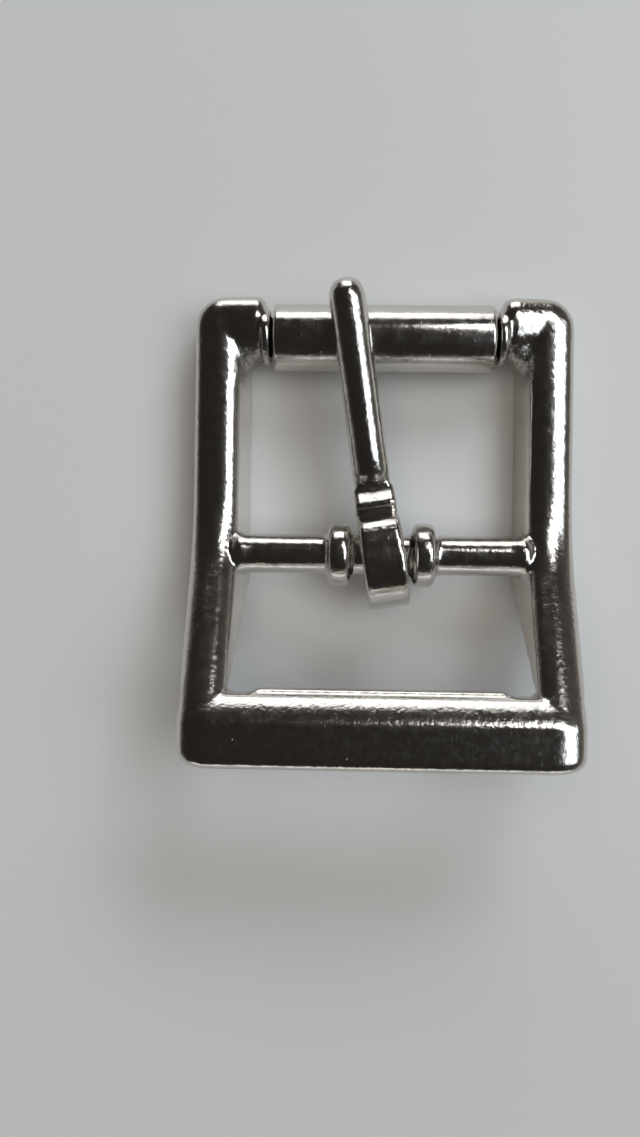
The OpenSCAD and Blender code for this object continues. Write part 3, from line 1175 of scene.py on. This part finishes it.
@dataclass
class Tongue:
    """The tongue: a loose eye, a low neck, a step and a prong that rests on the roller.

    Lengths are in millimetres.
    """

    at: Stations
    eye_radius: float = 4.0
    eye_width: float = 3.7
    eye_bore: float = 2.86
    eye_round: float = 0.4
    eye_back: float = 0.65
    eye_side: float = 0.2
    eye_z: float = 4.06
    drill_reach: float = 4.0
    neck_low: float = 2.81
    neck_round: float = 0.55
    lean_degrees: float = 8.8
    prong_width: float = 3.15
    grain: float = 0.10
    melt_rounds: int = 5

    def build(self) -> Piece:
        """Model the tongue straight, lean it over in its loose eye and plate it.

        Returns:
            The tongue as one skin.
        """
        whole = Bench.join("cast_tongue", [self._prong(), self._neck(), self._eye_disc()])
        Bench.outward(whole)
        Bench.apply(whole, "REMESH", mode="VOXEL", voxel_size=self.grain * MM)
        drill = Bench.rod("bore", self.eye_bore, (-self.drill_reach, 0, self.eye_z),
                          2 * self.drill_reach, facets=96)
        Bench.apply(whole, "BOOLEAN", operation="DIFFERENCE", object=drill, solver="EXACT")
        bpy.data.objects.remove(drill, do_unlink=True)
        Bench.cast(whole, self.grain, self.melt_rounds)
        self._lean_over(whole)
        Bench.dress(whole, NickelPlate("tongue_nickel", pit_share=0.06).material())
        return whole

    def _eye_disc(self) -> Piece:
        """The eye before it is bored.

        Returns:
            The disc.
        """
        half = self.eye_width / 2
        disc = Bench.rod("eye", self.eye_radius, (-half, 0, self.eye_z), self.eye_width,
                         facets=96)
        Bench.round_off(disc, lambda p: abs(abs(p.x) - half) < ON_LINE, self.eye_round,
                        steps=4)
        return disc

    def _prong(self) -> Piece:
        """The round shaft of the prong, from the step to the rounded tip.

        Returns:
            The prong.
        """
        wide = self.prong_width
        return self._drawn("prong", BarShape.ROUND, [
            (6.5, 0.45, 2.05, 3.1), (6.9, 0.55, 2.35, 3.2), (7.6, 0.67, 2.85, 3.25),
            (8.6, 0.82, 3.05, 3.25), (10.0, 1.1, 3.1, 3.2), (12.0, 1.5, 3.05, 3.2),
            (16.0, 2.33, 2.85, wide), (20.0, 3.19, 2.7, wide), (22.4, 3.29, 2.62, wide),
            (23.0, 3.34, 2.45, 2.95), (23.5, 3.49, 2.05, 2.5), (23.85, 3.69, 1.55, 1.85),
            (24.02, 3.99, 0.9, 1.1)])

    def _neck(self) -> Piece:
        """The flat neck between the eye and the shaft, with its sloping step.

        Returns:
            The neck.
        """
        wide = self.eye_width
        return self._drawn("neck", BarShape.FLAT, [
            (1.0, 0.3, 4.8, wide), (1.8, 0.2, 4.85, wide), (2.6, 0.1, 4.72, wide - 0.02),
            (3.1, 0.0, 4.55, wide - 0.04), (3.5, 0.0, 4.2, wide - 0.06),
            (3.75, 0.0, 3.7, wide - 0.08), (3.95, 0.0, 3.0, wide - 0.09),
            (4.15, 0.0, 2.6, wide - 0.1), (4.45, 0.0, 2.6, wide - 0.12),
            (4.6, 0.03, 2.9, wide - 0.12), (4.75, 0.05, 3.14, wide - 0.13),
            (4.95, 0.1, 3.22, wide - 0.14), (5.15, 0.14, 3.12, wide - 0.15),
            (5.45, 0.18, 2.9, wide - 0.16), (5.8, 0.24, 2.62, wide - 0.18),
            (6.1, 0.3, 2.38, wide - 0.22), (6.4, 0.36, 2.2, wide - 0.28),
            (6.8, 0.5, 2.05, 2.9), (7.3, 0.75, 1.7, 2.2), (7.9, 0.95, 1.5, 1.6)])

    def _drawn(self, name: str, shape: BarShape,
               rows: Iterable[tuple[float, float, float, float]]) -> Piece:
        """A bar drawn out along Y, section by section.

        Args:
            name: Name of the piece.
            shape: Flat with rounded edges, or round.
            rows: A Section's values in each row.

        Returns:
            The bar.
        """
        past, *others = (Section(*row) for row in rows)
        middle = self.neck_low + past.rise + past.thick / 2
        flat = shape is BarShape.FLAT
        Bench.clear()
        bpy.ops.mesh.primitive_circle_add(
            vertices=shape.value, radius=math.sqrt(0.5) if flat else 0.5,
            fill_type="NGON", rotation=(QUARTER_TURN, 0, 0))
        bar = Bench.settle(name)
        if flat:
            bar.rotation_euler = (0, QUARTER_TURN / 2, 0)
            Bench.settle(name)
        bar.scale = (past.width * MM, 1, past.thick * MM)
        bar.location = (0, past.far * MM, middle * MM)
        Bench.settle(name)
        if flat:
            Bench.pick(bar, Pick.CORNER, lambda p: True)
            bpy.ops.mesh.bevel(offset=self.neck_round * MM, segments=6, affect="VERTICES")
        Bench.pick(bar, Pick.FACE, lambda p: True)
        for section in others:
            new_middle = self.neck_low + section.rise + section.thick / 2
            Bench.draw_out((0, section.far - past.far, new_middle - middle))
            Bench.stretch((section.width / past.width, 1, section.thick / past.thick),
                          (0, section.far, new_middle))
            past, middle = section, new_middle
        Bench.outward(bar)
        return bar

    def _lean_over(self, whole: Piece) -> None:
        """Turn the tongue about its eye and hang it on the centre bar.

        Args:
            whole: The tongue.
        """
        Bench.hold(whole)
        whole.rotation_euler = (0, 0, math.radians(self.lean_degrees))
        whole.location = (self.eye_side * MM, (self.at.bar_y - self.eye_back) * MM, 0)
        Bench.settle(whole.name)


@dataclass(frozen=True)
class Softbox:
    """A soft rectangular light that faces the buckle.

    The azimuth is in degrees from the far side toward the right, the elevation in
    degrees above the table, lengths are in metres and the power is in watts.
    """

    name: str
    azimuth: float
    elevation: float
    distance: float
    width: float
    height: float
    power: float
    tint: Colour = (1.0, 1.0, 1.0)
    shine: Shine = Shine.ALL

    def hang(self) -> None:
        """Add the light to the studio."""
        a, e = math.radians(self.azimuth), math.radians(self.elevation)
        toward = Vector((math.sin(a) * math.cos(e), math.cos(a) * math.cos(e), math.sin(e)))
        Bench.clear()
        bpy.ops.object.light_add(type="AREA", location=toward * self.distance)
        lamp = bpy.context.object
        lamp.name = self.name
        lamp.data.shape = "RECTANGLE"
        lamp.data.size = self.width
        lamp.data.size_y = self.height
        lamp.data.energy = self.power
        lamp.data.color = self.tint
        lamp.rotation_mode = "QUATERNION"
        lamp.rotation_quaternion = toward.to_track_quat("Z", "Y")
        lamp.visible_diffuse = self.shine is not Shine.MIRRORED
        lamp.visible_glossy = self.shine is not Shine.SOFT


@dataclass(frozen=True)
class Glow:
    """How bright the room is along one axis of the direction in which it is seen."""

    axis: str
    start: float
    end: float
    at_start: float
    at_end: float


@dataclass
class Studio:
    """The pale table, the soft lights and the camera straight above.

    The table's breadth and the camera's sight are in metres, other lengths are in
    millimetres, and turns are in degrees.
    """

    table_breadth: float = 4.0
    table_gap: float = 0.01
    table_tint: Colour = (0.66, 0.67, 0.67)
    table_dull: float = 0.45
    daylight: Colour = (0.90, 0.99, 1.06)
    room_warmth: Colour = (1.10, 0.99, 0.88)
    room_tint: Colour = (1.0, 0.9, 0.8)
    height_glow: Glow = Glow(axis="Z", start=0.0, end=0.35, at_start=0.16, at_end=0.022)
    right_glow: Glow = Glow(axis="X", start=0.3, end=0.95, at_start=0.0, at_end=0.05)
    camera_height: float = 95.3
    aim: tuple[float, float] = (-5.43, -4.02)
    roll: float = 0.8
    yaw: float = 1.8
    lens: float = 33.2
    film_width: float = 36.0
    sight: tuple[float, float] = (0.001, 10.0)

    def build(self) -> None:
        """Set the table, the lights, the surroundings and the camera."""
        self._table()
        self._lights()
        self._surroundings()
        self._camera()
        bpy.context.scene.view_settings.view_transform = "Standard"
        bpy.context.scene.view_settings.look = "None"

    def _table(self) -> None:
        """A pale satin table top, a hair below the buckle's feet."""
        Bench.clear()
        bpy.ops.mesh.primitive_plane_add(size=self.table_breadth,
                                         location=(0, 0, -self.table_gap * MM))
        table = bpy.context.object
        table.name = "table"
        material = bpy.data.materials.new("pale_table")
        n = Nodes(material)
        paint = n.add("ShaderNodeBsdfPrincipled")
        paint.inputs["Base Color"].default_value = (*self.table_tint, 1)
        paint.inputs["Roughness"].default_value = self.table_dull
        n.link(paint.outputs["BSDF"], n.out.inputs["Surface"])
        Bench.dress(table, material)

    def _lights(self) -> None:
        """Windows at the right, low light from near and far, and the sky and ceiling."""
        for light in (
                Softbox("window_right", azimuth=88, elevation=50, distance=1.5, width=1.1,
                        height=0.80, power=6.5, tint=self.daylight),
                Softbox("window_corner", azimuth=50, elevation=56, distance=1.8, width=1.25,
                        height=0.48, power=7.5, shine=Shine.MIRRORED),
                Softbox("far_low", azimuth=-3, elevation=16, distance=2.4, width=1.5,
                        height=1.02, power=9.5),
                Softbox("near_low", azimuth=180, elevation=8, distance=2.7, width=3.6,
                        height=0.6, power=7.0),
                Softbox("sky_glow", azimuth=26, elevation=31, distance=1.5, width=0.8,
                        height=0.45, power=10.2, tint=self.daylight, shine=Shine.SOFT),
                Softbox("ceiling", azimuth=0, elevation=88, distance=1.5, width=1.7,
                        height=1.7, power=8.0, tint=self.room_warmth, shine=Shine.SOFT)):
            light.hang()

    def _surroundings(self) -> None:
        """A dim room: dark overhead, and lighter toward the horizon and the right."""
        world = bpy.data.worlds.new("room")
        bpy.context.scene.world = world
        n = Nodes(world, "ShaderNodeOutputWorld")
        where = n.add("ShaderNodeTexCoord")
        parts = n.add("ShaderNodeSeparateXYZ")
        n.link(where.outputs["Generated"], parts.inputs[0])
        glows = [n.ramp(parts.outputs[glow.axis], glow.start, glow.end, glow.at_start,
                        glow.at_end) for glow in (self.height_glow, self.right_glow)]
        back = n.add("ShaderNodeBackground")
        back.inputs["Color"].default_value = (*self.room_tint, 1)
        n.link(n.math("ADD", *glows), back.inputs["Strength"])
        n.link(back.outputs[0], n.out.inputs[0])

    def _camera(self) -> None:
        """A camera straight above, framed as the photograph."""
        data = bpy.data.cameras.new("camera")
        data.lens = self.lens
        data.sensor_width = self.film_width
        data.clip_start, data.clip_end = self.sight
        camera = bpy.data.objects.new("camera", data)
        bpy.context.scene.collection.objects.link(camera)
        yaw = math.radians(self.yaw)
        camera.location = ((self.aim[0] + self.camera_height * math.tan(yaw)) * MM,
                           self.aim[1] * MM, self.camera_height * MM)
        camera.rotation_euler = (0, yaw, math.radians(self.roll))
        bpy.context.scene.camera = camera


def main() -> None:
    """Build the buckle piece by piece and set the studio."""
    logging.basicConfig(level=logging.INFO, format="%(message)s")
    at = Stations()
    for body, slot, maker in (("frame", "cast_nickel", CastFrame(at)),
                              ("roller", "roller_nickel", RollerTube(at)),
                              ("tongue", "tongue_nickel", Tongue(at))):
        piece = maker.build()
        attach(piece, body)
        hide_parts(body)
        LOG.info("%s: %d faces", piece.name, len(piece.data.polygons))
    Studio().build()


if __name__ == "__main__":
    main()
